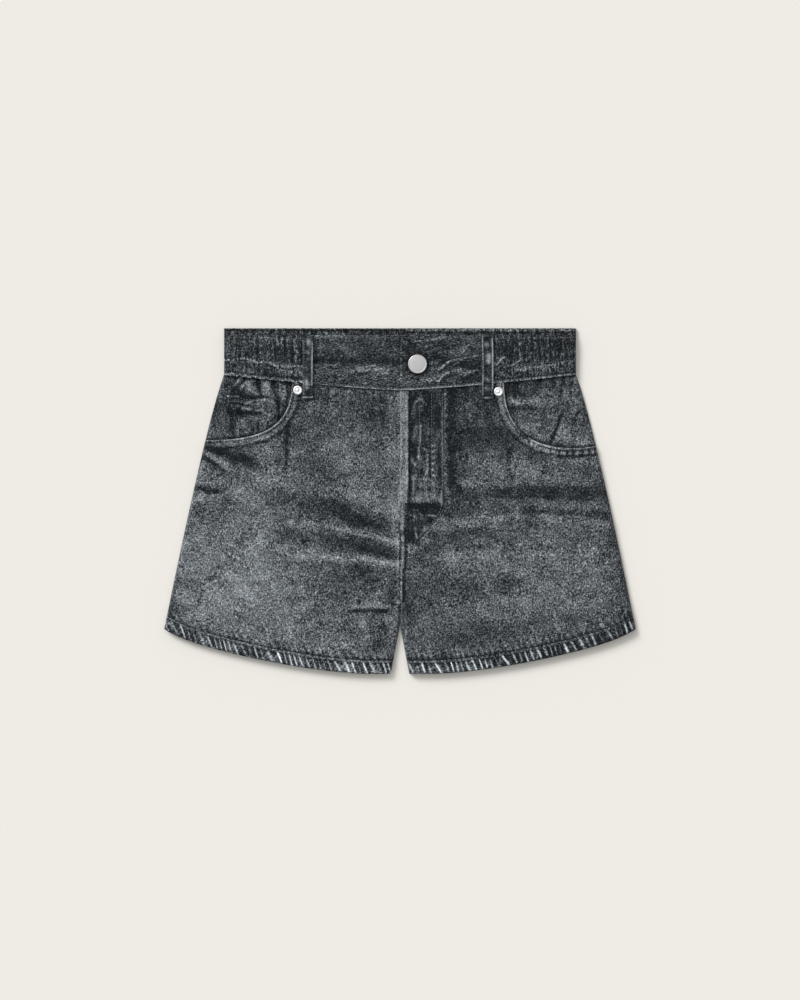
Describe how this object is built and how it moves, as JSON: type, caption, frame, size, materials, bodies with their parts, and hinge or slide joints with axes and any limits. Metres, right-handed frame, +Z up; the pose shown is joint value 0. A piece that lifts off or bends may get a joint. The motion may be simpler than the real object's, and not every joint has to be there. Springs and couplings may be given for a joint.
{
  "type": "wide-leg shorts",
  "caption": "Wide-leg denim shorts laid flat, front up, with a part-gathered elastic waist, button and fly front, scooped pockets, a coin pocket, belt loops and turned hems.",
  "frame": {"origin": "on the surface that the shorts lie on, under the middle of their outline", "axes": "+X to the wearer's left across the hems, +Y from the hems to the waist, +Z up out of the front"},
  "size_m": [0.472, 0.346, 0.0131],
  "materials": {
    "denim": "washed charcoal denim with worn highlights",
    "waist_denim": "darker washed charcoal denim, gathered",
    "thread": "grey sewing thread",
    "button_metal": "satin silver",
    "rivet_metal": "bright silver"
  },
  "bodies": {
    "root": {"front_right": "denim", "front_left": "denim", "back_right": "denim", "back_left": "denim", "hem_front_right": "denim", "hem_front_left": "denim", "hem_back_right": "denim", "hem_back_left": "denim", "pocket_facing_right": "denim", "pocket_facing_left": "denim", "coin_pocket": "denim", "fly_placket": "denim", "belt_loop_right": "denim", "belt_loop_left": "denim", "waistband_front_right": "waist_denim", "waistband_front_left": "waist_denim", "waistband_side_right": "waist_denim", "waistband_side_left": "waist_denim", "waistband_back": "waist_denim", "button": "button_metal", "rivet_right": "rivet_metal", "rivet_left": "rivet_metal"}
  },
  "joints": []
}
